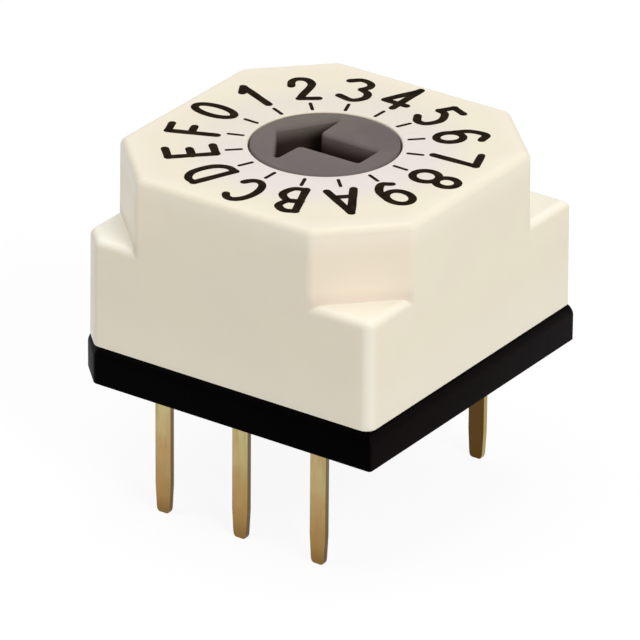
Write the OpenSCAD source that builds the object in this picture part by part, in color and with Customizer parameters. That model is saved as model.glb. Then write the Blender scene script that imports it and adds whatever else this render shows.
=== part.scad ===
// Coded rotary dip switch, 16 positions, for mounting through a printed board.
// Millimetres, +Z up. The origin is on the rotor's axis, in the seating plane under the base.
// The arrow in the rotor points along -X, at position 0. The cut index corner is at -X, -Y.

/* [Pins] */
// Distance between neighbouring pins in a row
pin_pitch = 2.54; // [2.4:0.02:2.6]
// Distance between the two rows of pins
row_span = 7.62; // [7.5:0.02:7.8]
// Width of a pin's blade
pin_w = 0.50; // [0.4:0.02:0.6]
// Length of a pin below the seating plane
pin_len = 3.87; // [3:0.01:5]
// Width of a pin at its tip
pin_tip_w = 0.24; // [0.2:0.02:0.36]
// Length of the slight taper above a pin's tip
pin_taper = 0.85; // [0.5:0.05:1.2]
// Thickness of the sheet that the terminals are stamped from
sheet_t = 0.16; // [0.12:0.01:0.2]

/* [Base] */
// How far the base stands out beyond the foot of the housing, on each side
base_rim = 0.125; // [0.11:0.005:0.3]
// Thickness of the base where the housing stands on it
base_t = 1.06; // [1:0.02:1.3]
// Height of the raised contact floor above the rim of the base
floor_rise = 0.60; // [0.5:0.02:0.75]
// Depth of the leads below the rim of the base
lead_depth = 0.30; // [0.25:0.01:0.5]
// Depth of the pivot's bearing below the rim of the base
bearing_depth = 0.10; // [0.05:0.01:0.13]
// Cut off the index corner of the base, along each side
base_index = 0.81; // [0.6:0.01:1]
// Width of the bevel along the top edge of the base, seen from above
base_bevel = 0.10; // [0.02:0.01:0.1]
// Height of that bevel
base_bevel_h = 0.22; // [0.05:0.01:0.3]

/* [Housing] */
// Side of the square housing at its foot
body_w = 9.55; // [9.45:0.01:9.65]
// Height of the housing above the rim of the base
body_h = 5.29; // [5.1:0.01:5.6]
// Height of the square skirt, up to the corner ledges
skirt_h = 3.13; // [2.8:0.01:3.3]
// Draft of the moulded sides, in degrees
draft = 0.42; // [0.2:0.02:1]
// Cut off each corner of the octagonal top, along each side
corner_cut = 1.94; // [1.7:0.01:2.1]
// Cut off the index corner of the skirt, along each side
body_index = 0.62; // [0.4:0.01:0.8]
// Radius of the upright edges
edge_r = 0.30; // [0.26:0.01:0.34]
// Radius of the skirt's two upright edges on the +Y side
rear_edge_r = 0.04; // [0.02:0.01:0.2]
// Radius of the edge round the top
top_r = 0.24; // [0.12:0.01:0.25]
// Radius of the edge of the corner ledges
ledge_r = 0.24; // [0.08:0.01:0.24]
// Thickness of the skirt's wall
wall = 0.78; // [0.7:0.01:0.84]
// Thickness of the roof
roof_t = 1.13; // [1.05:0.01:1.3]

/* [Rotor] */
// Diameter of the rotor's head in the top of the housing
rotor_d = 4.04; // [3.9:0.02:4.2]
// Running gap round the rotor's head and pivot
running_gap = 0.05; // [0.03:0.01:0.08]
// How far the head lies below the top of the housing
head_drop = 0; // [0:0.01:0.1]
// Bevel round the head
head_bevel = 0.07; // [0.03:0.01:0.1]
// Depth of the arrow recess
arrow_depth = 0.90; // [0.6:0.02:1]
// Rim of the head that is left in front of the arrow's tip
tip_rim = 0.50; // [0.45:0.01:0.7]
// Rim of the head that is left beside the arrow's barbs
barb_rim = 0.61; // [0.59:0.01:0.8]
// Rim of the head that is left behind the driver slot
slot_rim = 0.65; // [0.5:0.01:0.8]
// Distance from the axis to the back edge of the arrow's head
arrow_back = 0.53; // [0.4:0.01:0.65]
// Width of the blunt end of a barb
barb_w = 0.08; // [0.04:0.01:0.12]
// Width of the driver slot
slot_w = 0.90; // [0.7:0.02:1]
// Diameter of the lower pivot
pivot_d = 1.10; // [1:0.02:1.2]
// Gap between the drum that carries the brush and the inside of the skirt
drum_gap = 0.595; // [0.5:0.005:0.7]

/* [Click] */
// Number of positions
positions = 16; // [8:8:16]
// How far the notched wheel is set back from the edge of the drum
wheel_step = 0.30; // [0.26:0.01:0.34]
// Height of the notched wheel
wheel_h = 1.20; // [1.1:0.02:1.3]
// Radius of the notches
notch_r = 0.44; // [0.42:0.01:0.45]
// Depth of the notches
notch_depth = 0.24; // [0.2:0.01:0.26]
// Thickness of a click spring
spring_t = 0.12; // [0.1:0.01:0.14]
// Wall of the housing that is left beyond the ends of a click spring
spring_wall = 0.77; // [0.72:0.01:0.9]
// Length of each end of a click spring that bears on its seat
spring_land = 0.60; // [0.5:0.02:0.7]
// Room behind a click spring to bend into
spring_room = 0.36; // [0.3:0.01:0.42]
// Diameter of the o-ring's cord
ring_cord = 0.60; // [0.54:0.01:0.62]

/* [Contacts] */
// Wall of the base that is left between the pivot's bearing and the common contact ring
bearing_wall = 0.20; // [0.16:0.01:0.24]
// How far the outermost contact ring lies inside the edge of the drum
track_inset = 0.22; // [0.16:0.01:0.26]
// Gap between neighbouring contact rings
track_gap = 0.12; // [0.08:0.01:0.14]
// Width of the unbroken rim that holds a code ring's teeth
track_rim = 0.10; // [0.08:0.01:0.12]
// Thickness of the brush
brush_t = 0.12; // [0.1:0.01:0.14]
// Clear height between the brush plate and the contact rings
brush_gap = 0.50; // [0.46:0.01:0.6]
// Length of a brush finger, seen from above
finger_l = 1.00; // [0.9:0.02:1.1]
// Margin of bare tooth on each side of a brush finger
finger_margin = 0.04; // [0.03:0.01:0.06]

/* [Hidden] */
$fn = 64;
hull_fn = 32;

// Small clearances that are the same everywhere
fit = 0.05;
touch = 0.02;
// Overshoot of a cutting shape beyond the surface that it cuts
over = 0.5;
// Height of a thin disc that only marks an outline for a hull, and the least radius that it has
thin = 0.01;
least_r = 0.01;

// Levels, from the seating plane upwards
z_lead = base_t - lead_depth;
z_track = base_t + floor_rise;
z_brush = z_track + brush_gap;
z_drum = z_brush + brush_t;
z_top = base_t + body_h;
z_ledge = base_t + skirt_h;
z_roof = z_top - roof_t;
z_shoulder = z_roof - fit;
z_wheel = z_shoulder - wheel_h;
z_bearing = base_t - bearing_depth;

// Plan sizes, from the outside inwards
base_w = body_w + 2 * base_rim;
cavity = body_w / 2 - wall;
cavity_r = 0.5;
drum_r = cavity - drum_gap;
wheel_r = drum_r - wheel_step;
notch_at = wheel_r + notch_r - notch_depth;
rotor_r = rotor_d / 2;
pivot_r = pivot_d / 2;
arrow_tip = rotor_r - tip_rim;
arrow_half = rotor_r - barb_rim;
slot_end = rotor_r - slot_rim;

// Contact rings: ring 0 is the common one, 1 to 4 are the code rings
rings = 5;
common_r = pivot_r + running_gap + bearing_wall;
track_pitch = (drum_r - track_inset - common_r + track_gap) / rings;
track_w = track_pitch - track_gap;
finger_w = track_w - track_rim - 2 * finger_margin;

// The angle from one position to the next, and the place of position 0
step = 360 / positions;
zero = 180;

// Half the housing's width at a height, with its draft
function half_at(z) = body_w / 2 - (z - base_t) * tan(draft);

// A click spring lies across a corner, from side wall to side wall
spring_l = 2 * (sqrt(2) * (half_at(z_roof) - spring_wall) - notch_at - spring_t);

// Corners of a square of this half width, the index corner first, with a cut at each that may be nought
function cut_square(half, cuts) = [
    for (k = [0:3])
        let (a = 225 + 90 * k, c = cuts[k], s = sign(cos(a)), t = sign(sin(a)))
        each (c == 0 ? [[s * half, t * half]]
            : s * t > 0 ? [[s * half, t * (half - c)], [s * (half - c), t * half]]
            : [[s * (half - c), t * half], [s * half, t * (half - c)]])
];

// The centres and radii of round upright edges that just touch the cut square's sides
function edge_posts(half, cuts, radii) = [
    for (k = [0:3])
        let (a = 225 + 90 * k, s = sign(cos(a)), t = sign(sin(a)), c = cuts[k], r = radii[k])
        let (near = half - r, back = half - max(c + r * (sqrt(2) - 1), r))
        each (c > 0 ? [[s * near, t * back, r], [s * back, t * near, r]] : [[s * near, t * near, r]])
];

// The upper end of an upright edge, as discs that follow the rounding of the block's top edge
module edge_top(p, top, z) {
    for (a = [0:15:90]) {
        inset = top * (1 - cos(a));
        r = max(p[2] - inset, least_r);
        back = inset + r - p[2];
        translate([p[0] - sign(p[0]) * back, p[1] - sign(p[1]) * back, z - top + top * sin(a) - thin])
            cylinder(r = r, h = thin, $fn = r > least_r ? hull_fn : 8);
    }
}

// A drafted block from the base's rim up to a height, with rounded edges
module drafted_block(cuts, radii, z, top) {
    hull() {
        for (p = edge_posts(half_at(base_t), cuts, radii))
            translate([p[0], p[1], base_t])
                cylinder(r = p[2], h = thin, $fn = hull_fn);
        for (p = edge_posts(half_at(z - top), cuts, radii))
            edge_top(p, top, z);
    }
}

// The pocket across a corner that holds a click spring, open towards the rotor and downwards
module spring_pocket(angle) {
    rotate(angle) {
        translate([notch_at - touch, -spring_l / 2 - touch, z_wheel - over])
            cube([spring_t + 2 * touch, spring_l + 2 * touch, z_roof - z_wheel + over]);
        translate([notch_at - touch, spring_land - spring_l / 2, z_wheel - over])
            cube([spring_t + spring_room, spring_l - 2 * spring_land, z_roof - z_wheel + over]);
    }
}

module rounded_square_prism(half, r, z0, z1) {
    translate([0, 0, z0])
        linear_extrude(z1 - z0)
            union() {
                square([2 * (half - r), 2 * half], center = true);
                square([2 * half, 2 * (half - r)], center = true);
                for (x = [-1, 1], y = [-1, 1])
                    translate([x * (half - r), y * (half - r)])
                        circle(r = r);
            }
}

module housing() {
    color("#efe8d8")
        difference() {
            union() {
                drafted_block([body_index, 0, 0, 0], [edge_r, edge_r, rear_edge_r, rear_edge_r], z_ledge, ledge_r);
                drafted_block(corner_cut * [1, 1, 1, 1], edge_r * [1, 1, 1, 1], z_top, top_r);
            }
            // Room for the base's contact floor, the brush and the drum
            rounded_square_prism(cavity, cavity_r, base_t - over, z_wheel);
            // Room for the notched wheel
            translate([0, 0, z_wheel - over])
                cylinder(r = drum_r + fit, h = z_roof - z_wheel + over);
            for (a = [45, 225])
                spring_pocket(a);
            // Seat of the o-ring
            translate([0, 0, z_roof - over])
                cylinder(r = rotor_r + ring_cord + touch, h = over + ring_cord - fit + touch);
            // The hole that the rotor's head runs in
            translate([0, 0, z_roof])
                cylinder(r = rotor_r + running_gap, h = roof_t + over);
        }
}

// Outline of the arrow recess, pointing along -X
module arrow_outline() {
    polygon([
        [-arrow_tip, barb_w / 2],
        [-arrow_tip, -barb_w / 2],
        [-arrow_back - 1.5 * barb_w, -arrow_half],
        [-arrow_back - barb_w / 2, -arrow_half],
        [-arrow_back, -slot_w / 2],
        [slot_end, -slot_w / 2],
        [slot_end, slot_w / 2],
        [-arrow_back, slot_w / 2],
        [-arrow_back - barb_w / 2, arrow_half],
        [-arrow_back - 1.5 * barb_w, arrow_half]
    ]);
}

module rotor() {
    head_z = z_top - head_drop;
    color("#706764")
        difference() {
            union() {
                // Head, wheel, drum and pivot, turned as one profile
                rotate_extrude()
                    polygon([
                        [0, z_bearing + fit],
                        [pivot_r, z_bearing + fit],
                        [pivot_r, z_drum],
                        [drum_r, z_drum],
                        [drum_r, z_wheel - fit],
                        [wheel_r, z_wheel - fit],
                        [wheel_r, z_shoulder],
                        [rotor_r, z_shoulder],
                        [rotor_r, head_z - head_bevel],
                        [rotor_r - head_bevel, head_z],
                        [0, head_z]
                    ]);
                for (a = peg_angles)
                    brush_peg(a);
            }
            for (k = [0:positions - 1])
                rotate(zero + k * step)
                    translate([notch_at, 0, z_wheel - fit])
                        cylinder(r = notch_r, h = wheel_h + 2 * fit);
            translate([0, 0, head_z - arrow_depth])
                linear_extrude(arrow_depth + over)
                    arrow_outline();
        }
}

module o_ring() {
    color("#2a2a2c")
        translate([0, 0, z_shoulder + ring_cord / 2])
            rotate_extrude()
                translate([rotor_r + ring_cord / 2, 0])
                    circle(d = ring_cord);
}

// One leaf of spring strip with a bump pressed into its middle
module click_spring(angle) {
    bump_r = notch_r - touch;
    low = z_wheel + fit;
    high = z_roof;
    color("#c9ccd0")
        rotate(angle)
            translate([0, 0, low])
                linear_extrude(high - low)
                    difference() {
                        union() {
                            translate([notch_at, -spring_l / 2])
                                square([spring_t, spring_l]);
                            intersection() {
                                translate([notch_at, 0])
                                    circle(r = bump_r);
                                translate([notch_at - 2 * bump_r, -2 * bump_r])
                                    square([2 * bump_r + spring_t, 4 * bump_r]);
                            }
                        }
                        translate([notch_at, 0])
                            circle(r = bump_r - spring_t);
                    }
}

module click_spring_a() {
    click_spring(45);
}

module click_spring_b() {
    click_spring(225);
}

// Inner radius of ring k, and the radius that its finger runs on
function ring_in(k) = common_r + k * track_pitch;
function ring_mid(k) = ring_in(k) + (k > 0 ? track_rim + (track_w - track_rim) / 2 : track_w / 2);

// Where each finger touches its ring, round the rotor from the arrow
function finger_angle(k) = zero + k * 360 / rings;
// Half the angle that a finger takes up on its ring
function finger_turn(k) = asin(finger_l / 2 / ring_mid(k));

// Pegs of the rotor that the brush is staked to, between the fingers
peg_r = 0.22;
peg_head_r = 0.32;
peg_head_h = 0.12;
peg_inset = 1;
peg_turn = 52;
peg_at = drum_r - peg_inset;
peg_angles = [for (k = [0, 1, 3]) finger_angle(k) + peg_turn];

module brush_peg(a) {
    rotate(a)
        translate([peg_at, 0, 0]) {
            translate([0, 0, z_brush - peg_head_h])
                cylinder(r = peg_head_r, h = peg_head_h);
            translate([0, 0, z_brush - touch])
                cylinder(r = peg_r, h = brush_t + 2 * touch);
        }
}

// The window in the brush plate that finger k is bent out of, and how far the finger's root goes past it
window_gap = 0.06;
finger_root = 0.04;
module finger_window(k) {
    mid = ring_mid(k) * cos(finger_turn(k));
    rotate(finger_angle(k) + finger_turn(k))
        translate([mid - finger_w / 2 - window_gap, -finger_l / 2 - 2 * window_gap, z_brush - over])
            cube([finger_w + 2 * window_gap, finger_l + window_gap, 2 * over]);
}

// Finger k slopes from the plate down to its ring and ends in a round contact
module finger(k) {
    drop = brush_gap - touch;
    mid = ring_mid(k) * cos(finger_turn(k));
    run = finger_l + finger_root;
    slope = atan(drop / run);
    rotate(finger_angle(k) + finger_turn(k))
        translate([mid - finger_w / 2, 0, z_brush]) {
            translate([0, finger_l / 2 + finger_root, 0])
                rotate([slope, 0, 0])
                    translate([0, -run / cos(slope), 0])
                        cube([finger_w, run / cos(slope), brush_t]);
            translate([0, -finger_l / 2, brush_t - drop])
                rotate([0, 90, 0])
                    cylinder(r = brush_t, h = finger_w);
        }
}

module contact_brush() {
    color("#c9a24e")
        union() {
            difference() {
                translate([0, 0, z_brush])
                    cylinder(r = drum_r - fit, h = brush_t);
                translate([0, 0, z_brush - over])
                    cylinder(r = pivot_r, h = 2 * over);
                for (k = [0:rings - 1])
                    finger_window(k);
                for (a = peg_angles)
                    rotate(a)
                        translate([peg_at, 0, z_brush - over])
                            cylinder(r = peg_r, h = 2 * over);
            }
            for (k = [0:rings - 1])
                finger(k);
        }
}

module flat_ring(r0, r1) {
    difference() {
        circle(r = r1);
        circle(r = r0);
    }
}

// A pie slice of the plane between two angles
module slice(a0, a1) {
    far = 2 * base_w;
    steps = 8;
    polygon(concat([[0, 0]],
                   [for (i = [0:steps]) let (a = a0 + (a1 - a0) * i / steps) far * [cos(a), sin(a)]]));
}

// Code ring k has a tooth wherever bit k of the position is set
// A tooth reaches this share of a step past the middle of its first and last positions
tooth_reach = 0.42;
module code_ring(k) {
    bit = pow(2, k - 1);
    r0 = ring_in(k);
    runs = positions / (2 * bit);
    translate([0, 0, z_track - sheet_t])
        linear_extrude(sheet_t)
            union() {
                flat_ring(r0, r0 + track_rim);
                for (i = [0:runs - 1]) {
                    first = bit * (2 * i + 1);
                    from = finger_angle(k) - (first - tooth_reach) * step;
                    upto = finger_angle(k) - (first + bit - 1 + tooth_reach) * step;
                    intersection() {
                        flat_ring(r0 + track_rim / 2, r0 + track_w);
                        slice(upto, from);
                    }
                }
            }
}

// A flat pin, narrowed towards its tip, with the tip's corners rounded
tip_cut = 0.18;
taper_share = 0.15;
module pin(x, y) {
    shoulder = pin_w / 2 - (pin_w - pin_tip_w) * taper_share;
    edge = concat(
        [[pin_w / 2, z_lead + sheet_t], [pin_w / 2, pin_taper - pin_len]],
        [for (a = [0:30:90]) [pin_tip_w / 2 + (shoulder - pin_tip_w / 2) * cos(a), tip_cut * (1 - sin(a)) - pin_len]]
    );
    translate([x, y + sheet_t / 2, 0])
        rotate([90, 0, 0])
            linear_extrude(sheet_t)
                polygon(concat(edge, [for (i = [len(edge) - 1:-1:0]) [-edge[i][0], edge[i][1]]]));
}

// The leg down from under a ring of inner radius r, and the lead from it out to a pin
lead_w = 0.36;
module lead(r, x, y) {
    inner = r + touch;
    rotate(atan2(y, x))
        translate([inner, -lead_w / 2, z_lead]) {
            cube([sheet_t, lead_w, z_track - z_lead - sheet_t / 2]);
            cube([norm([x, y]) - inner, lead_w, sheet_t]);
        }
}

module terminal_colour() {
    color("#c8b273")
        children();
}

module terminal_common() {
    terminal_colour()
        union() {
            translate([0, 0, z_track - sheet_t])
                linear_extrude(sheet_t)
                    flat_ring(common_r, common_r + track_w);
            for (s = [-1, 1]) {
                lead(common_r + track_w / 3, 0, s * row_span / 2);
                pin(0, s * row_span / 2);
            }
        }
}

module code_terminal(k, x, y) {
    terminal_colour()
        union() {
            code_ring(k);
            lead(ring_in(k), x, y);
            pin(x, y);
        }
}

module terminal_1() {
    code_terminal(1, -pin_pitch, -row_span / 2);
}

module terminal_2() {
    code_terminal(2, -pin_pitch, row_span / 2);
}

module terminal_4() {
    code_terminal(3, pin_pitch, -row_span / 2);
}

module terminal_8() {
    code_terminal(4, pin_pitch, row_span / 2);
}

module base() {
    half = base_w / 2;
    cuts = [base_index, 0, 0, 0];
    color("#16131a")
        difference() {
            union() {
                hull() {
                    linear_extrude(base_t - base_bevel_h)
                        polygon(cut_square(half, cuts));
                    linear_extrude(base_t)
                        polygon(cut_square(half - base_bevel, cuts));
                }
                rounded_square_prism(cavity - fit, cavity_r - fit, base_t - over, z_track);
            }
            // The bearing of the rotor's pivot
            translate([0, 0, z_bearing])
                cylinder(r = pivot_r + running_gap, h = z_track);
            terminal_common();
            terminal_1();
            terminal_2();
            terminal_4();
            terminal_8();
        }
}

housing();
base();
rotor();
o_ring();
click_spring_a();
click_spring_b();
contact_brush();
terminal_common();
terminal_1();
terminal_2();
terminal_4();
terminal_8();
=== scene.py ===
# %% [markdown]
# # A coded rotary switch for a printed board
# The real object is a moulded cream housing about 10 mm across, on a black base with gold pins. A grey rotor turns in
# its top, and figures from 0 to F are printed round it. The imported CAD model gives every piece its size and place.
# Here it is loaded as a fixed frame, and nothing in it is moved: Blender only adds finish and the finer forms.

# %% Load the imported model
import math

import bmesh
import bpy
import numpy as np
from mathutils import Matrix, Vector


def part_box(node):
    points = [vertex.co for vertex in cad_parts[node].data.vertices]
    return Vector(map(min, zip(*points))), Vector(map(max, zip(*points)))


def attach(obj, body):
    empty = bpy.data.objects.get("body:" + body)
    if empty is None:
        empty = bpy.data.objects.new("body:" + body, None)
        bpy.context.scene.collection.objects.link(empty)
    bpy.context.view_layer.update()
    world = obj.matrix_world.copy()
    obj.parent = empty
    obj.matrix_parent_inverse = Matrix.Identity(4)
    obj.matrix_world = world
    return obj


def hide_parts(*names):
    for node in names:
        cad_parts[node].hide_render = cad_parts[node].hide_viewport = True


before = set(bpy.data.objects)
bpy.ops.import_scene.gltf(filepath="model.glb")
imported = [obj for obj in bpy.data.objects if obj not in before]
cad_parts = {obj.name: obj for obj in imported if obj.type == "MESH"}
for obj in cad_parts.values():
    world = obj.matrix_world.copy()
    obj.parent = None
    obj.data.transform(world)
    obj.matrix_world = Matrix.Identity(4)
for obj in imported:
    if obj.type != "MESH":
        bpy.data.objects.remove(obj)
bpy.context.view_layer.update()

# %% [markdown]
# ## The camera
# The photograph was taken from the right and above, from so far away that upright edges stay parallel. A long lens
# placed far off gives the same drawing. The view is set by the direction back to the camera, a small roll, the point
# that sits in the middle of the picture and the distance to it, all in millimetres.

# %% Place the camera
MM = 0.001
azimuth, elevation, roll = (math.radians(a) for a in (34.5913, 26.0886, 0.4869))
middle = Vector((3.0859, -4.6449, 3.8352))
distance, lens_mm, sensor_mm = 186.5, 401.69, 36

away = Vector((math.sin(azimuth) * math.cos(elevation), -math.cos(azimuth) * math.cos(elevation), math.sin(elevation)))
side = Vector((math.cos(azimuth), math.sin(azimuth), 0))
up = away.cross(side)
across = side * math.cos(roll) + up * math.sin(roll)
upward = up * math.cos(roll) - side * math.sin(roll)

camera = bpy.data.objects.new("camera", bpy.data.cameras.new("camera"))
camera.data.lens, camera.data.sensor_width = lens_mm, sensor_mm
camera.data.clip_start, camera.data.clip_end = 0.01, 10
camera.matrix_world = Matrix.Translation((middle + away * distance) * MM) @ Matrix((across, upward, away)).transposed().to_4x4()
bpy.context.scene.collection.objects.link(camera)
bpy.context.scene.camera = camera
print("camera at", [round(c, 1) for c in camera.location / MM], "mm")

# %% [markdown]
# ## Shader maths as sums
# A finish is a chain of small nodes. Wiring them by hand hides the idea, so one class wraps a node's output and lets
# it be added, multiplied and taken from 1 like a number. Any other node comes from `Finish.node`, which takes its type,
# its settings and then the values or links of its sockets.

# %% Wires and finishes
class Wire:
    """The output of a node, which can be used in sums."""

    def __init__(self, finish, outputs, pick=0):
        self.finish, self.outputs, self.pick = finish, outputs, pick

    def out(self, pick):
        return Wire(self.finish, self.outputs, pick)

    def sum(self, operation, a, b):
        return self.finish.node("ShaderNodeMath", {"operation": operation}, {0: a, 1: b})

    def __add__(self, other):
        return self.sum("ADD", self, other)

    def __sub__(self, other):
        return self.sum("SUBTRACT", self, other)

    def __rsub__(self, other):
        return self.sum("SUBTRACT", other, self)

    def __mul__(self, other):
        return self.sum("MULTIPLY", self, other)

    def __truediv__(self, other):
        return self.sum("DIVIDE", self, other)

    def __pow__(self, other):
        return self.sum("POWER", self, other)

    def __gt__(self, other):
        return self.sum("GREATER_THAN", self, other)

    def __abs__(self):
        return self.sum("ABSOLUTE", self, 0)

    def most(self, other):
        return self.sum("MAXIMUM", self, other)

    __radd__ = __add__
    __rmul__ = __mul__


class Finish:
    """A material, or the world, that is built node by node."""

    def __init__(self, owner):
        self.owner = owner
        owner.use_nodes = True
        self.tree = owner.node_tree
        self.tree.nodes.clear()

    def node(self, kind, settings=None, sockets=None, pick=0):
        made = self.tree.nodes.new(kind)
        for name, value in (settings or {}).items():
            if name == "stops":
                for i, (place, shade) in enumerate(value):
                    stops = made.color_ramp.elements
                    stop = stops[i] if i < len(stops) else stops.new(place)
                    stop.position, stop.color = place, (*shade, 1)
            else:
                setattr(made, name, value)
        for name, value in (sockets or {}).items():
            socket = made.inputs[name]
            if isinstance(value, Wire):
                self.tree.links.new(value.outputs[value.pick], socket)
            elif socket.type == "RGBA":
                socket.default_value = (*value, 1)
            else:
                socket.default_value = value
        return Wire(self, made.outputs, pick)

    def mix(self, share, first, second):
        """A colour that goes from first to second."""
        return self.node("ShaderNodeMix", {"data_type": "RGBA"}, {0: share, 6: first, 7: second}, 2)

    def clamp(self, value, low, high):
        """0 where value is at low, 1 where it is at high, and smooth between."""
        return self.node("ShaderNodeMapRange", {"interpolation_type": "SMOOTHSTEP"}, {0: value, 1: low, 2: high})

    def place(self):
        """A point of the piece in millimetres, before the piece is moved."""
        point = self.node("ShaderNodeTexCoord").out("Object")
        return self.node("ShaderNodeVectorMath", {"operation": "SCALE"}, {0: point, "Scale": 1 / MM})

    def split(self, point):
        """The three parts of a point or a direction."""
        return [self.node("ShaderNodeSeparateXYZ", {}, {0: point}).out(i) for i in range(3)]

    def facing(self):
        """The direction that the piece's skin faces."""
        return self.node("ShaderNodeTexCoord").out("Normal")

    def noise(self, scale, detail=3, roughness=0.5, point=None):
        """Soft noise, with its scale in waves to the millimetre."""
        return self.node("ShaderNodeTexNoise", {}, {"Vector": point or self.place(), "Scale": scale,
                                                    "Detail": detail, "Roughness": roughness})

    def bump(self, height, depth_mm, normal=None):
        """A relief that is depth_mm high where height is 1."""
        links = {"Height": height, "Distance": depth_mm * MM, "Strength": 1}
        if normal:
            links["Normal"] = normal
        return self.node("ShaderNodeBump", {}, links)

    def soft_edge(self, radius_mm):
        """Normals that run round a sharp edge as if it had this radius."""
        return self.node("ShaderNodeBevel", {"samples": 8}, {"Radius": radius_mm * MM})

    def surface(self, **values):
        """The piece's shader and output, each word standing for the shader's own socket."""
        named = {word.replace("_", " ").title().replace("Ior", "IOR"): value for word, value in values.items()}
        shader = self.node("ShaderNodeBsdfPrincipled", {}, named)
        self.node("ShaderNodeOutputMaterial", {}, {"Surface": shader})
        print("finish", self.owner.name, "has", len(self.tree.nodes), "nodes")
        return self.owner


def srgb(*parts):
    """A colour that is read off a picture, 0 to 255, as the linear colour that a shader wants."""
    return tuple((p / 255 / 12.92) if p <= 10 else ((p / 255 + 0.055) / 1.055) ** 2.4 for p in parts)


def finish(name):
    return Finish(bpy.data.materials.new(name))


print("a photograph's mid grey 128 is linear", round(srgb(128)[0], 3))

# %% [markdown]
# ## Building a mesh from rings
# Both moulded pieces are a skin stretched over a row of closed rings, like hoops under a sail. Each ring has the same
# number of points, so neighbouring rings join with quads. Where a ring shrinks to a point or two rings meet, the
# doubled points are merged afterwards. Cut-outs that no ring can follow are made with a boolean.

# %% Rings to meshes
def skin(rings, closed=False, caps=False):
    """Points and faces of a skin over these rings, in millimetres."""
    rings = np.asarray(rings, float)
    count, around = rings.shape[:2]
    faces = [
        [i * around + j, i * around + (j + 1) % around,
         (i + 1) % count * around + (j + 1) % around, (i + 1) % count * around + j]
        for i in range(count if closed else count - 1) for j in range(around)
    ]
    if caps:
        faces += [list(range(around))[::-1], list(range((count - 1) * around, count * around))]
    return rings.reshape(-1, 3), faces


def solid(name, skins, smooth_below=30):
    """One object from several skins, smooth where its faces meet at less than this many degrees."""
    mesh = bmesh.new()
    for points, faces in skins:
        corners = [mesh.verts.new(Vector(p) * MM) for p in points]
        for face in faces:
            mesh.faces.new([corners[i] for i in face])
    bmesh.ops.remove_doubles(mesh, verts=mesh.verts, dist=1e-8)
    bmesh.ops.recalc_face_normals(mesh, faces=mesh.faces)
    data = bpy.data.meshes.new(name)
    mesh.to_mesh(data)
    mesh.free()
    piece = bpy.data.objects.new(name, data)
    bpy.context.scene.collection.objects.link(piece)
    return shade(piece, smooth_below)


def shade(piece, smooth_below=30):
    piece.data.shade_smooth()
    piece.data.set_sharp_from_angle(angle=math.radians(smooth_below))
    return piece


def carve(piece, cutter, operation="DIFFERENCE"):
    """Cuts one solid out of another, or joins it on, and keeps only the result."""
    tool = piece.modifiers.new("carve", "BOOLEAN")
    tool.object, tool.operation, tool.solver = cutter, operation, "EXACT"
    done = bpy.data.meshes.new_from_object(piece.evaluated_get(bpy.context.evaluated_depsgraph_get()))
    piece.modifiers.clear()
    piece.data = done
    bpy.data.objects.remove(cutter)
    return shade(piece)


def level(radii, z, angles):
    """A ring of points at one height, from a radius at each angle."""
    return np.stack([radii * np.cos(angles), radii * np.sin(angles), np.full(len(angles), float(z))], 1)


def tell(piece):
    size = [round(float(d) / MM, 2) for d in piece.dimensions]
    print(piece.name, "is", size, "mm with", len(piece.data.polygons), "faces")

# %% [markdown]
# ## The housing's outline
# Seen from above, the skirt is a square with one cut corner, the index, and the top is an octagon. Three of the skirt's
# upright edges could be equally round, but on the real one the two at the back are nearly sharp. Both outlines are
# described by flat sides, each with a direction and a distance, and by a cut and a radius for each corner. The radius
# at an angle is the nearest side, or the arc between two sides near a corner.

# %% Outlines with rounded corners
rim_z, top_z, ledge_z, roof_z, wheel_z, seat_top = 1.06, 6.34, 4.19, 5.22, 3.97, 5.79
foot_half, draft, edge_r, rear_r = 4.775, math.radians(0.42), 0.30, 0.04
skirt_corners = [(0, rear_r), (0, rear_r), (0.62, edge_r), (0, edge_r)]
top_corners = [(1.94, edge_r)] * 4
around = np.radians(np.arange(960) * 0.375)


def half_at(z):
    """Half the housing's width at a height. Moulded walls lean in a little, so that the part leaves its mould."""
    return foot_half - (z - rim_z) * math.tan(draft)


def outline(half, corners, inset=0.0):
    """Distance from the axis to a square, drawn in by inset. Corners are a cut and a radius each, from 45 degrees on."""
    sides = []
    for k, (cut, radius) in enumerate(corners):
        sides.append((90 * k, half - inset, radius))
        if cut:
            sides.append((90 * k + 45, (2 * half - cut) / math.sqrt(2) - inset, radius))
    look = np.stack([np.cos(around), np.sin(around)], 1)
    flats = [(np.array([math.cos(math.radians(a)), math.sin(math.radians(a))]), d, max(r - inset, 0.003)) for a, d, r in sides]
    reach = np.min([np.where(look @ n > 1e-6, d / np.maximum(look @ n, 1e-6), 1e9) for n, d, _ in flats], 0)
    for (n, d, r), (m, e, _) in zip(flats, flats[1:] + flats[:1]):
        centre = np.linalg.solve(np.array([n, m]), np.array([d - r, e - r]))
        start, end, along = centre + r * n, centre + r * m, look @ centre
        near = (start[0] * look[:, 1] > start[1] * look[:, 0]) & (end[0] * look[:, 1] < end[1] * look[:, 0]) & (along > 0)
        reach = np.where(near, along + np.sqrt(np.maximum(along**2 - centre @ centre + r**2, 0)), reach)
    return reach


print("the skirt reaches", round(float(outline(foot_half, skirt_corners).max()), 3), "mm at its corners")

# %% [markdown]
# ## The housing shell
# The rings start at the foot, climb the skirt, round its top edge and run in over the corner ledges. They climb the
# octagon, round the top edge, cross the flat face and go down the rotor's hole, then back out through the o-ring's
# seat, the wheel's room and the cavity to the foot. The skirt and the octagon share their four flat sides, so the
# larger of the two radii is right at every angle. A small cove joins each ledge to the face above it.

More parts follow.
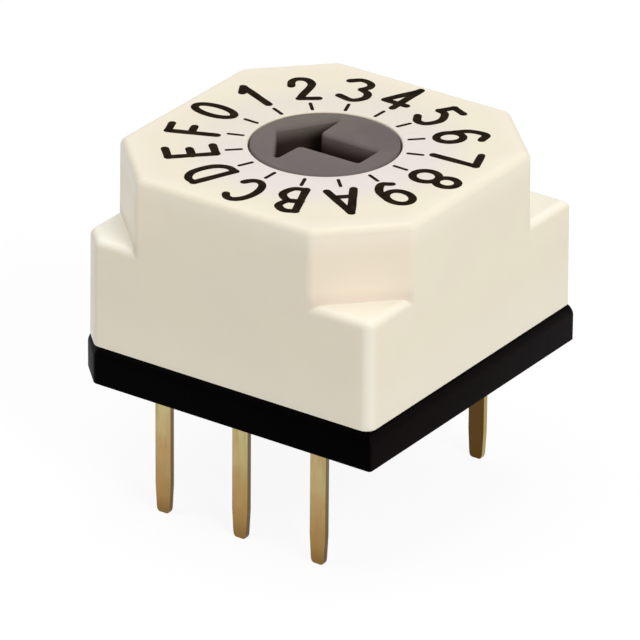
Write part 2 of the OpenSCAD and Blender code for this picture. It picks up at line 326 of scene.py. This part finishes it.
# %% Rings of the housing
ledge_r, cove_r, top_r, lip_r = 0.24, 0.03, 0.24, 0.04
hole_r, seat_r, room_r, cavity_half, cavity_r = 2.07, 2.64, 3.45, 3.995, 0.5
quarter = [math.radians(a) for a in range(0, 91, 10)]


def octagon(z, inset=0.0):
    return outline(half_at(z), top_corners, inset)


def skirt(z, inset=0.0):
    return outline(half_at(z), skirt_corners, inset)


def ring(radii, z):
    return level(radii, z, around)


def circle(radius, z):
    return ring(np.full(len(around), radius), z)


shell = [ring(np.maximum(skirt(z), octagon(z)), z) for z in (rim_z, 2.0, 3.0, ledge_z - ledge_r)]
for turn in quarter[1:]:
    z = ledge_z - ledge_r * (1 - math.sin(turn))
    shell.append(ring(np.maximum(skirt(ledge_z - ledge_r, ledge_r * (1 - math.cos(turn))), octagon(z)), z))
edge, wall = skirt(ledge_z - ledge_r, ledge_r), octagon(ledge_z)
for share in (0.25, 0.5, 0.75):
    shell.append(ring(np.maximum(edge + (np.minimum(edge, wall + cove_r) - edge) * share, wall), ledge_z))
for turn in quarter:
    z = ledge_z + cove_r * (1 - math.cos(turn))
    shell.append(ring(np.maximum(np.minimum(edge, octagon(z) + cove_r * (1 - math.sin(turn))), octagon(z)), z))
shell += [ring(octagon(z), z) for z in (4.6, 5.3, top_z - top_r)]
for turn in quarter[1:]:
    z = top_z - top_r * (1 - math.sin(turn))
    shell.append(ring(octagon(top_z - top_r, top_r * (1 - math.cos(turn))), z))
face = octagon(top_z - top_r, top_r)
shell += [ring(face + (hole_r + lip_r - face) * share, top_z) for share in (0.25, 0.5, 0.75, 1)]
shell += [circle(hole_r + lip_r * (1 - math.sin(turn)), top_z - lip_r * (1 - math.cos(turn))) for turn in quarter[1:]]
shell += [circle(r, z) for r, z in ((hole_r, seat_top), (seat_r, seat_top), (seat_r, roof_z), (room_r, roof_z), (room_r, wheel_z))]
cavity = outline(cavity_half, [(0, cavity_r)] * 4)
shell += [ring(cavity, wheel_z), ring(cavity, rim_z)]
housing_shell = solid("housing_shell", [skin(shell, closed=True)])
tell(housing_shell)

# %% [markdown]
# ## Pockets for the click springs
# Two leaf springs lie across opposite corners inside the roof. Each pocket holds the ends of its leaf and leaves room
# behind the middle for it to bend. A pocket is two plain blocks, so it is cut with a boolean.

# %% Cut the spring pockets
def block(x0, x1, y0, y1, z0, z1, turn):
    """A plain block as a cutter, turned round the axis."""
    c, s = math.cos(turn), math.sin(turn)
    corners = [(x0, y0), (x1, y0), (x1, y1), (x0, y1)]
    return skin([[(x * c - y * s, x * s + y * c, z) for x, y in corners] for z in (z0, z1)], caps=True)


notch_at, spring_half, spring_land, touch = 3.30, 2.20, 0.60, 0.02
for turn in (math.radians(45), math.radians(225)):
    for depth, half in ((0.12 + 2 * touch, spring_half + touch), (0.12 + 0.36, spring_half - spring_land)):
        pocket = block(notch_at - touch, notch_at - touch + depth, -half, half, wheel_z - 0.3, roof_z, turn)
        housing_shell = carve(housing_shell, solid("pocket", [pocket]))
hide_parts("housing")
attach(housing_shell, "case")
tell(housing_shell)

# %% [markdown]
# ## The rotor
# The rotor is turned in form: a head with a rounded rim, a wheel, a drum and a pivot. Its profile is spun round the
# axis. Sixteen notches are cut in the wheel, where the springs click. The arrow in the head is a deep recess with
# sloping walls and a soft lip, and a straight slot for a driver behind its point.

# %% Turn the rotor and cut its notches
head_z, head_r, bevel_r, shoulder_z = top_z + 0.008, 2.02, 0.07, roof_z - 0.05
drum_r, wheel_r, pivot_r = 3.40, 3.10, 0.55
spin = np.radians(np.arange(256) * 360 / 256)


def turned(profile, angles=spin):
    return [level(np.full(len(angles), r), z, angles) for r, z in profile]


profile = [(0, 1.01), (pivot_r, 1.01), (pivot_r, 2.28), (drum_r, 2.28), (drum_r, wheel_z - 0.05), (wheel_r, wheel_z - 0.05),
           (wheel_r, shoulder_z), (head_r, shoulder_z)]
profile += [(head_r - bevel_r * (1 - math.cos(t)), head_z - bevel_r * (1 - math.sin(t))) for t in quarter]
profile += [(1.0, head_z), (0, head_z)]
rotor_body = solid("rotor_body", [skin(turned(profile))])

short = np.radians(np.arange(48) * 7.5)


def post(radius, x, y, z0, z1):
    """A plain round post, as a cutter or a peg."""
    return skin([level(np.full(48, radius), z, short) + [x, y, 0] for z in (z0, z1)], caps=True)


notches = [post(0.44, notch_at * math.cos(k * math.pi / 8), notch_at * math.sin(k * math.pi / 8), wheel_z - 0.1, roof_z)
           for k in range(16)]
rotor_body = carve(rotor_body, solid("notches", notches))
tell(rotor_body)

# %% [markdown]
# ## The arrow recess
# The cutter is the arrow's outline at several heights. Its walls lean outwards a little, and just under the head's face
# it flares, which leaves a soft lip as on the moulded part. The outline's corners are rounded first, so that moving
# every point along its own normal never makes the outline cross itself.

# %% Cut the arrow
floor_z, lean, flare = 5.45, 0.015, 0.11
arrow_tip, arrow_back, arrow_half, barb_w, slot_half, slot_end = 1.52, 0.53, 1.41, 0.08, 0.45, 1.37
half_arrow = [(-arrow_tip, barb_w / 2), (-arrow_back - 1.5 * barb_w, arrow_half), (-arrow_back - barb_w / 2, arrow_half),
              (-arrow_back, slot_half), (slot_end, slot_half)]
arrow = half_arrow + [(x, -y) for x, y in half_arrow[::-1]]
corner_radii = [0.035, 0.035, 0.035, 0.24, 0.06]


def rounded(points, radii, steps=6):
    """The closed outline with each corner replaced by a short curve."""
    done, points = [], np.asarray(points, float)
    for before, corner, after, radius in zip(np.roll(points, 1, 0), points, np.roll(points, -1, 0), radii):
        ends = []
        for other in (before, after):
            gap = np.linalg.norm(other - corner)
            ends.append(corner + (other - corner) / gap * min(radius, gap * 0.45))
        for t in np.linspace(0, 1, steps):
            done.append((1 - t) ** 2 * ends[0] + 2 * t * (1 - t) * corner + t**2 * ends[1])
    return np.array(done)


def grown(points, by):
    """The closed outline with every point moved out along its own normal."""
    edges = np.roll(points, -1, 0) - points
    edges /= np.linalg.norm(edges, axis=1)[:, None]
    normals = np.stack([edges[:, 1], -edges[:, 0]], 1)
    area = np.sum(points[:, 0] * np.roll(points[:, 1], -1) - points[:, 1] * np.roll(points[:, 0], -1))
    both = (normals + np.roll(normals, 1, 0)) * (1 if area > 0 else -1)
    both /= np.maximum(np.sum(both**2, 1), 1.2)[:, None] / 2
    return points + both * by


def flat(points, z):
    return np.column_stack([points, np.full(len(points), z)])


arrow = rounded(arrow, corner_radii + corner_radii[::-1])
steps = [(floor_z, 0)]
steps += [(head_z - flare * (1 - math.sin(t)), lean + flare * (1 - math.cos(t))) for t in quarter[::2] + quarter[-1:]]
steps.append((head_z + 0.3, lean + flare))
rotor_body = carve(rotor_body, solid("arrow", [skin([flat(grown(arrow, by), z) for z, by in steps], caps=True)]))
tell(rotor_body)

# %% [markdown]
# ## Pegs under the drum
# Three pegs pass through the contact brush and are staked over, so their heads hold the brush. They are joined on.

# %% Join the pegs
for angle in (232, 304, 88):
    x, y = 2.40 * math.cos(math.radians(angle)), 2.40 * math.sin(math.radians(angle))
    for radius, z0, z1 in ((0.22, 2.12, 2.30), (0.32, 2.04, 2.16)):
        rotor_body = carve(rotor_body, solid("peg", [post(radius, x, y, z0, z1)]), "UNION")
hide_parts("rotor")
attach(rotor_body, "rotor")
tell(rotor_body)

# %% [markdown]
# ## Softer edges on the base
# The base is moulded too, so its upper edges are round where the CAD solid has a bevel. Everything else on the solid is
# right, holes and all. So a copy of its mesh is taken, its flat faces are joined up, and only the outer edges are
# rolled off.

# %% Round the base
def is_outer(edge):
    """Whether an edge lies round the outside of the base, but not along its underside."""
    ends = [end.co / MM for end in edge.verts]
    return all(max(abs(p.x), abs(p.y)) > foot_half for p in ends) and max(p.z for p in ends) > rim_z / 2


mesh = bmesh.new()
mesh.from_mesh(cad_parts["base"].data)
bmesh.ops.remove_doubles(mesh, verts=mesh.verts, dist=1e-7)
bmesh.ops.dissolve_limit(mesh, angle_limit=math.radians(0.5), verts=mesh.verts, edges=mesh.edges)
bmesh.ops.bevel(mesh, geom=[e for e in mesh.edges if is_outer(e)], offset=0.085 * MM, segments=4, profile=0.5, affect="EDGES")
data = bpy.data.meshes.new("base_moulding")
mesh.to_mesh(data)
mesh.free()
base_moulding = shade(bpy.data.objects.new("base_moulding", data), 35)
bpy.context.scene.collection.objects.link(base_moulding)
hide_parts("base")
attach(base_moulding, "case")
tell(base_moulding)

# %% [markdown]
# ## The printed dial
# The figures were stamped on with a soft pad, in thick strokes with round ends that swell and thin a little. Each
# stroke is a list of points, (t, r) in millimetres: r is the distance from the axis, and t the distance to the right
# for a reader who stands outside the dial and looks in at the foot of the figure. A stroke becomes a thin strip.

# %% Strokes of ink
ink_z, ink_h, stroke_w = top_z, 0.008, 0.24


def smooth(points, closed=False, steps=8):
    """A curve through these points."""
    p = np.asarray(points, float)
    p = np.vstack([p[-1], p, p[:2]]) if closed else np.vstack([2 * p[0] - p[1], p, 2 * p[-1] - p[-2]])
    done = []
    for a, b, c, d in zip(p, p[1:], p[2:], p[3:]):
        for t in np.arange(steps) / steps:
            done.append(0.5 * (2 * b + (c - a) * t + (2 * a - 5 * b + 4 * c - d) * t**2 + (3 * b - a - 3 * c + d) * t**3))
    return np.array(done if closed else done + [p[-2]])


def oval(centre, rx, ry, start=0, end=360):
    """Part of an oval, its angles counted from the right towards the top."""
    turns = np.radians(np.linspace(start, end, max(6, int(abs(end - start) / 11)), endpoint=abs(end - start) < 360))
    return np.stack([centre[0] + rx * np.cos(turns), centre[1] + ry * np.sin(turns)], 1)


def strip(points, width, closed=False, seed=0.0, lift=0.0):
    """A thin strip of ink along a line of (x, y), with round ends."""
    p = np.asarray(points, float)
    if not closed:
        p = np.vstack([np.linspace(a, b, max(1, math.ceil(np.linalg.norm(b - a) / 0.08)), endpoint=False)
                       for a, b in zip(p, p[1:])] + [p[-1:]])
    ahead = np.roll(p, -1, 0) - np.roll(p, 1, 0)
    if not closed:
        ahead[0], ahead[-1] = p[1] - p[0], p[-1] - p[-2]
    ahead /= np.linalg.norm(ahead, axis=1)[:, None]
    run = np.cumsum(np.linalg.norm(np.diff(p, axis=0, prepend=p[:1]), axis=1))
    half = width / 2 * (1 + 0.07 * np.sin(5.1 * run + seed) * np.sin(2.3 * run + 2 * seed))
    if closed:
        half = np.full(len(p), width / 2)
    else:
        caps = np.radians([15, 30, 45, 60, 75, 90])
        start = [(p[0] - ahead[0] * half[0] * math.sin(c), half[0] * math.cos(c), ahead[0]) for c in caps[::-1]]
        end = [(p[-1] + ahead[-1] * half[-1] * math.sin(c), half[-1] * math.cos(c), ahead[-1]) for c in caps]
        p = np.vstack([[s[0] for s in start], p, [s[0] for s in end]])
        half = np.concatenate([[s[1] for s in start], half, [s[1] for s in end]])
        ahead = np.vstack([[s[2] for s in start], ahead, [s[2] for s in end]])
    across = np.stack([-ahead[:, 1], ahead[:, 0]], 1) * half[:, None]
    low, high = ink_z - ink_h, ink_z + ink_h + lift
    rings = [[(*(q + a), low), (*(q + a * 0.9), high), (*(q - a * 0.9), high), (*(q - a), low)] for q, a in zip(p, across)]
    return skin(rings, closed=closed)

# %% [markdown]
# The figures are plain technical ones. Straight strokes are drawn one by one, and bends as ovals or as curves through
# a few points.

# %% Draw the figures
FIGURES = [
    [("loop", oval((0.04, 3.66), 0.31, 0.65))],
    [("line", [(-0.10, 4.03), (0.13, 4.33)]), ("line", [(0.13, 4.35), (0.10, 2.965)])],
    [("curve", [(-0.25, 3.91), (-0.18, 4.2), (0, 4.33), (0.25, 4.25), (0.35, 4.0), (0.28, 3.75), (0, 3.3), (-0.17, 3.0)]),
     ("line", [(-0.17, 3.0), (0.35, 2.93)])],
    [("curve", [(-0.22, 4.23), (0.1, 4.33), (0.38, 4.15), (0.40, 3.9), (0.22, 3.7)]),
     ("curve", [(0.22, 3.7), (0.44, 3.45), (0.40, 3.12), (0.08, 2.93), (-0.32, 3.17)])],
    [("line", [(0.11, 4.4), (0.13, 2.96)]), ("line", [(0.11, 4.35), (-0.35, 3.35)]), ("line", [(-0.35, 3.3), (0.36, 3.3)])],
    [("line", [(0.31, 4.25), (-0.15, 4.25)]), ("line", [(-0.15, 4.25), (-0.22, 3.8)]),
     ("curve", [(-0.22, 3.8), (0.05, 3.8), (0.36, 3.45), (0.32, 3.0), (0.05, 2.88), (-0.25, 3.08)])],
    [("curve", [(0.41, 4.2), (0.1, 4.38), (-0.2, 4.0), (-0.22, 3.55)]),
     ("loop", oval((0.10, 3.35), 0.31, 0.38))],
    [("line", [(-0.26, 4.22), (0.46, 4.2)]), ("line", [(0.46, 4.2), (0.0, 2.92)])],
    [("loop", oval((0.115, 4.0), 0.29, 0.32)), ("loop", oval((0.105, 3.29), 0.35, 0.38))],
    [("loop", oval((0.15, 3.83), 0.34, 0.43)), ("curve", [(0.49, 3.8), (0.42, 3.25), (0.12, 2.88), (-0.14, 3.0)])],
    [("line", [(0.09, 4.35), (-0.25, 2.85)]), ("line", [(0.09, 4.35), (0.5, 2.9)]), ("line", [(-0.12, 3.3), (0.36, 3.3)])],
    [("line", [(-0.13, 2.88), (-0.13, 4.3)]),
     ("curve", [(-0.13, 4.3), (0.2, 4.29), (0.40, 4.0), (0.2, 3.68), (-0.13, 3.65)]),
     ("curve", [(-0.13, 3.65), (0.22, 3.64), (0.44, 3.27), (0.22, 2.9), (-0.13, 2.88)])],
    [("curve", oval((0.1, 3.6), 0.38, 0.68, 45, 320))],
    [("line", [(-0.2, 2.92), (-0.2, 4.27)]),
     ("curve", [(-0.2, 4.27), (0.12, 4.25), (0.37, 4.0), (0.44, 3.6), (0.37, 3.2), (0.12, 2.94), (-0.2, 2.92)])],
    [("line", [(-0.13, 2.94), (-0.13, 4.29)]), ("line", [(-0.13, 4.29), (0.43, 4.29)]),
     ("line", [(-0.13, 3.62), (0.30, 3.62)]), ("line", [(-0.13, 2.94), (0.43, 2.94)])],
    [("line", [(-0.1, 2.92), (-0.1, 4.32)]), ("line", [(-0.1, 4.32), (0.40, 4.32)]), ("line", [(-0.1, 3.65), (0.31, 3.65)])],
]


print_centre = np.array([0.03, -0.035])


def on_dial(position, points, turn=0.0):
    """Points (t, r) of a position as x, y on the housing. Position 0 is at -X, and the figures run clockwise.

    The pad printed the dial a little off centre, as pads do.
    """
    angle = math.radians(180 - 22.5 * position - turn)
    out, right = np.array([math.cos(angle), math.sin(angle)]), np.array([math.sin(angle), -math.cos(angle)])
    return [out * r + right * t + print_centre for t, r in points]


strokes, middle = [], np.array([0.1, 3.63])
for position, figure in enumerate(FIGURES):
    for kind, points in figure:
        path = middle + 0.955 * (np.asarray(points if kind in ("line", "loop") else smooth(points)) - middle)
        strokes.append(strip(on_dial(position, path), stroke_w, kind == "loop", seed=len(strokes), lift=1e-5 * len(strokes)))
dial_figures = solid("dial_figures", strokes)
tick_turn, tick_w = 1.5, 0.105
ticks = [strip(on_dial(k, [(0, 2.27), (0, 2.66)], tick_turn), tick_w, seed=k) for k in range(len(FIGURES))]
dial_ticks = solid("dial_ticks", ticks)
for piece in (dial_figures, dial_ticks):
    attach(piece, "case")
    tell(piece)

# %% [markdown]
# ## Cream moulding
# The housing is a filled polyester, warm white and slightly glossy. Its colour drifts a little from pinkish to
# yellowish, as flow in the mould leaves it, and its skin has a very fine grain. The rims are paler with painted light,
# which stands in for light that passes a little way under the skin, and the middle of the dial is a shade greyer than
# the rest. Painted light and painted shade also lie on some faces, ledges and edges. All are masks made of the height,
# the distance from the axis and the direction of the skin.

# %% Finish of the housing
cream = finish("cream_moulding")
x, y, z = cream.split(cream.place())
nx, ny, nz = cream.split(cream.facing())
side, across = abs(x).most(abs(y)), abs(x) + abs(y)
drift = cream.clamp(cream.noise(0.45, 2), 0.35, 0.65)
body = cream.mix(drift * 0.6, srgb(243, 235, 212), srgb(242, 232, 212))
# Painted warm light: the octagon's cut face that looks towards the key lamp is tinted warmer.
body = cream.mix(cream.clamp(nx - ny, 1.05, 1.40) * (8 - across > 0) * 0.7, body, srgb(245, 229, 208))
handled = (1 - cream.clamp((x * x + y * y) ** 0.5, 2.7, 4.3)) * (z > top_z - 0.01)
worn = cream.mix(cream.clamp(x - y, -3.0, 3.0), srgb(234, 227, 214), srgb(237, 226, 224))
body = cream.mix(handled * 0.9, body, worn)
# Painted light: the walls just under the top edge are paler, less so on the rounded edge itself.
painted_rim_light = cream.clamp(side.most(across * 0.7071 - 0.587), 3.9, 4.6) * cream.clamp(z, 5.50, 6.25)
bend = nz * (1 - nz) * 4
body = cream.mix(painted_rim_light * (0.85 - nz * 0.35 - bend * 0.5), body, srgb(250, 242, 223))
# Painted light: a warm, paler patch on the -Y face, on its left part just above the ledge.
painted_warm_light = cream.clamp(0 - x, 1.2, 2.8) * cream.clamp(z, 4.2, 5.2) * (0 - ny > 0.9)
body = cream.mix(painted_warm_light * 0.5, body, srgb(254, 240, 216))
body = cream.mix(cream.clamp(z, 3.0, 1.1) * 0.55, body, srgb(248, 241, 224))
# Painted light: the octagon's cut face on the left is paler, most near the top.
painted_left_light = cream.clamp(0 - nx - ny, 1.05, 1.30) * (8 - across > 0)
body = cream.mix(painted_left_light * (0.4 + cream.clamp(z, 5.6, 6.2) * 0.5), body, srgb(252, 246, 233))
# Painted light: the ledges and their rounded edges are paler, most on the left and at the back.
painted_ledge_light = cream.clamp(nz, 0.2, 0.95) * (4.25 - z > 0)
body = cream.mix(painted_ledge_light * (0.5 + (-3 - x > 0) * 0.5 + (y - 3 > 0) * 0.2), body, srgb(254, 251, 238))
# Painted shade: the octagon's cut faces are darker just above the ledges, where they meet them.
painted_shade_at_wall_foot = (1 - cream.clamp(z, 4.2, 4.65)) * abs(nx * ny) * 2 * (8 - across > 0)
body = cream.mix(painted_shade_at_wall_foot * 0.65, body, srgb(223, 208, 193))
# Painted highlight: the skirt's rounded upright edges are paler.
body = cream.mix(abs(nx * ny) * 1.2 * (across > 8), body, srgb(250, 245, 231))
# Painted shade: rounded edges that look towards -Y are darker.
body = cream.mix(bend * cream.clamp(ny, 0.0, -0.7) * 0.3, body, srgb(214, 204, 184))
speck = cream.clamp(cream.noise(9.0, 2), 0.66, 0.78)
body = cream.mix(speck * 0.08, body, srgb(205, 196, 178))
grain = cream.bump(cream.noise(22.0, 3), 0.003)
cream.surface(base_color=body, roughness=0.42 + 0.10 * cream.noise(3.0), normal=grain, specular_ior_level=0.18)

# %% [markdown]
# ## Grey rotor
# The rotor is a grey nylon with a fine skin and a few pale scuffs, where drivers rub. The depth of the arrow gets
# painted
# shade: a mask from the height darkens the walls from the lip down.

# %% Finish of the rotor
grey = finish("grey_nylon")
x, y, z = grey.split(grey.place())
tone = grey.clamp(grey.noise(1.1, 3), 0.35, 0.65)
shade_of_grey = grey.mix(tone, srgb(106, 96, 94), srgb(102, 94, 91))
shade_of_grey = grey.mix(grey.clamp(y + 1.5 * grey.noise(1.0, 2), 0.5, 2.1) * 0.8, shade_of_grey, srgb(93, 83, 81))
olive = grey.clamp(y - x + 3 * grey.noise(0.9, 1), 1.8, 4.2)
shade_of_grey = grey.mix(olive * 0.7, shade_of_grey, srgb(108, 101, 90))
scuff = grey.clamp(grey.noise(6.0, 4, 0.7), 0.60, 0.75)
shade_of_grey = grey.mix(scuff * 0.2, shade_of_grey, srgb(128, 119, 114))
# Painted shade in the arrow's recess, darker from the lip down to the floor.
painted_recess_shade = grey.clamp(z, 6.30, 5.83) * (z > floor_z - 0.02) * (3.7 - (x * x + y * y) > 0)
shade_of_grey = grey.mix(painted_recess_shade * 0.95, shade_of_grey, srgb(42, 29, 23))
grey.surface(base_color=shade_of_grey, roughness=0.45 + 0.12 * grey.noise(4.0), specular_ior_level=0.2,
             normal=grey.bump(grey.noise(18.0, 3), 0.004))

# %% [markdown]
# ## Black base
# The base is a glass-filled black moulding, dull and very dark. A Bevel node softens the light on its edges a little
# further than their shape does, and fine flecks of glass show on it. Faces that look towards +X, the key lamp's side,
# get painted light.

# %% Finish of the base
black = finish("black_moulding")
fleck = black.clamp(black.noise(14.0, 4, 0.65), 0.62, 0.75)
shade_of_black = black.mix(fleck * 0.4, srgb(1, 0, 0), srgb(20, 13, 15))
# Painted light: faces that look towards +X are a little lighter.
painted_lamp_side_light = black.clamp(black.split(black.facing())[0], 0.5, 0.95)
shade_of_black = black.mix(painted_lamp_side_light * 0.6, shade_of_black, srgb(20, 14, 15))
black.surface(base_color=shade_of_black, roughness=0.34 + 0.16 * black.noise(5.0), specular_ior_level=0.013,
              normal=black.bump(black.noise(16.0, 4), 0.004, black.soft_edge(0.06)))

# %% [markdown]
# ## Ink
# The ink is dark brown where it is thin and near black where it is thick.

# %% Finish of the ink
ink = finish("dial_ink")
thick = ink.clamp(ink.noise(3.5, 3), 0.35, 0.62)
ink.surface(base_color=ink.mix(thick, srgb(38, 27, 12), srgb(21, 13, 3)), roughness=0.62, specular_ior_level=0.018,
            normal=ink.bump(ink.noise(25.0, 2), 0.003))

# %% [markdown]
# ## Gold terminals
# The terminals are stamped from brass sheet and flashed with pale gold. The flash is thinner and browner towards the
# tips, and the sheared edges, which face sideways, are dark. The rear pin stands in the base's shadow, so its faces get
# a painted shadow and its sideways edges a painted highlight. Metal shows what it reflects, so its colour is that of a
# white room seen in it.

# %% Finish of the terminals
gold = finish("gold_flash")
x, y, z = gold.split(gold.place())
low = gold.clamp(z + 1.2 * gold.noise(1.3, 2) - 0.6, -0.6, -3.4)
flash = gold.mix(low, srgb(191, 178, 129), srgb(158, 126, 76))
hue = gold.clamp(gold.noise(0.8, 1), 0.38, 0.62)
flash = gold.mix(hue * 0.35, flash, srgb(186, 140, 92))
streak = gold.node("ShaderNodeVectorMath", {"operation": "MULTIPLY"}, {0: gold.place(), 1: (9.0, 9.0, 0.8)})
flash = gold.mix(gold.clamp(gold.noise(1.0, 3, 0.5, streak), 0.45, 0.7) * 0.35, flash, srgb(150, 124, 70))
flash = gold.mix(gold.clamp(z, -3.2, -3.85) * 0.6, flash, srgb(108, 78, 38))
sheared = abs(gold.split(gold.facing())[0]) > 0.6
flash = gold.mix(sheared * 0.75, flash, srgb(84, 62, 34))
# Painted shadow on the rear pin's faces, with a painted highlight on its sideways edges.
rear_pin_painted_shadow_and_highlight = gold.mix(sheared * 0.8, srgb(80, 53, 21), srgb(190, 170, 104))
flash = gold.mix((y > 0) * 0.9, flash, rear_pin_painted_shadow_and_highlight)
gold.surface(base_color=flash, metallic=1.0, roughness=0.30 + 0.12 * gold.noise(2.0, 3, 0.5, streak),
             normal=gold.bump(gold.noise(1.0, 3, 0.5, streak), 0.004, gold.soft_edge(0.03)))

# %% [markdown]
# ## Pieces inside
# Opened up, the switch shows a rubber ring, two leaves of spring steel and a brush of copper alloy.

# %% Finishes of the inner pieces
rubber = finish("black_rubber")
rubber.surface(base_color=rubber.mix(rubber.clamp(rubber.noise(5.0), 0.4, 0.7), srgb(30, 30, 32), srgb(48, 47, 48)),
               roughness=0.6 + 0.15 * rubber.noise(8.0), normal=rubber.bump(rubber.noise(20.0), 0.004))
steel = finish("spring_steel")
rolled = steel.node("ShaderNodeVectorMath", {"operation": "MULTIPLY"}, {0: steel.place(), 1: (2.0, 2.0, 30.0)})
brushed = steel.noise(1.0, 4, 0.6, rolled)
steel.surface(base_color=steel.mix(brushed, srgb(176, 178, 182), srgb(214, 214, 214)), metallic=1.0,
              roughness=0.26 + 0.14 * brushed, normal=steel.bump(brushed, 0.002))
copper = finish("brush_alloy")
worn = copper.clamp(copper.noise(2.0, 3), 0.35, 0.7)
copper.surface(base_color=copper.mix(worn, srgb(205, 165, 90), srgb(184, 138, 84)), metallic=1.0,
               roughness=0.28 + 0.15 * copper.noise(7.0), normal=copper.bump(copper.noise(12.0), 0.003))

# %% [markdown]
# ## Dressing the pieces
# New pieces take their finish directly. A CAD node keeps its mesh, and only its material changes.

# %% Give every piece its finish
def dress(piece, made):
    piece.data.materials.clear()
    piece.data.materials.append(made.owner)


for piece, made in ((housing_shell, cream), (rotor_body, grey), (base_moulding, black), (dial_figures, ink), (dial_ticks, ink)):
    dress(piece, made)
for name, made in {"o_ring": rubber, "click_spring_a": steel, "click_spring_b": steel,
                   "contact_brush": copper}.items():
    dress(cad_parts[name], made)
for name in [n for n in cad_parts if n.startswith("terminal")]:
    dress(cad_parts[name], gold)

# %% [markdown]
# ## Light and floor
# The switch stands in a white studio. The faces in the photograph tell where the light came from: the cut corner in
# front is the brightest upright face, the face on its right comes next, and the face on its left is the darkest. So
# the key lamp stands 21 degrees round from the right face towards the camera. Two weaker lamps, above and on the left,
# fill in. The world is plain white where the camera or a reflection sees it and dimmer where it lights the pieces. The
# floor under the pins is nearly white and keeps a faint shadow.

# %% Lamps
def lamp(name, direction, size, watts, distance_mm=450):
    """A square soft lamp that points at the switch."""
    light = bpy.data.lights.new(name, "AREA")
    light.size, light.energy = size, watts
    item = bpy.data.objects.new(name, light)
    direction = Vector(direction).normalized()
    item.location = (Vector((0, 0, 3)) + direction * distance_mm) * MM
    item.rotation_mode = "QUATERNION"
    item.rotation_quaternion = direction.to_track_quat("Z", "Y")
    bpy.context.scene.collection.objects.link(item)
    return item


lamps = [lamp("top_lamp", (0, 0.2, 1), 0.30, 0.42), lamp("key_lamp", (0.931, -0.365, 0.598), 0.22, 1.09),
         lamp("left_lamp", (-0.819, -0.574, 0.70), 0.30, 0.48)]
print("lamps:", {item.name: round(item.data.energy, 2) for item in lamps}, "watts")

# %% World and floor
def seen(owner):
    """1 for a ray from the camera, a reflection or a glass piece."""
    path = owner.node("ShaderNodeLightPath")
    return path.out("Is Camera Ray").most(path.out("Is Glossy Ray")).most(path.out("Is Transmission Ray"))


world = bpy.data.worlds.new("studio")
bpy.context.scene.world = world
sky = Finish(world)
white = sky.node("ShaderNodeBackground", {}, {"Color": (1, 1, 1), "Strength": 1})
dim = sky.node("ShaderNodeBackground", {}, {"Color": (1, 1, 1), "Strength": 0.42})
sky.node("ShaderNodeOutputWorld", {}, {"Surface": sky.node("ShaderNodeMixShader", {}, {0: seen(sky), 1: dim, 2: white})})

floor_finish = finish("studio_floor")
paper = floor_finish.node("ShaderNodeBsdfDiffuse", {}, {"Color": (0.5, 0.5, 0.5)})
faint = floor_finish.node("ShaderNodeBsdfDiffuse", {}, {"Color": (0.13, 0.13, 0.13)})
glow = floor_finish.node("ShaderNodeEmission", {}, {"Color": (1, 1, 1), "Strength": 0.89})
both = floor_finish.node("ShaderNodeAddShader", {}, {0: faint, 1: glow})
mixed = floor_finish.node("ShaderNodeMixShader", {}, {0: seen(floor_finish), 1: paper, 2: both})
floor_finish.node("ShaderNodeOutputMaterial", {}, {"Surface": mixed})

pin_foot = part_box("terminal_1")[0].z / MM
floor = solid("studio_floor", [skin([level(np.full(64, r), pin_foot, np.radians(np.arange(64) * 5.625)) for r in (0, 600)])])
dress(floor, floor_finish)
bpy.context.scene.view_settings.view_transform = "Standard"
print("floor at", round(pin_foot, 2), "mm")
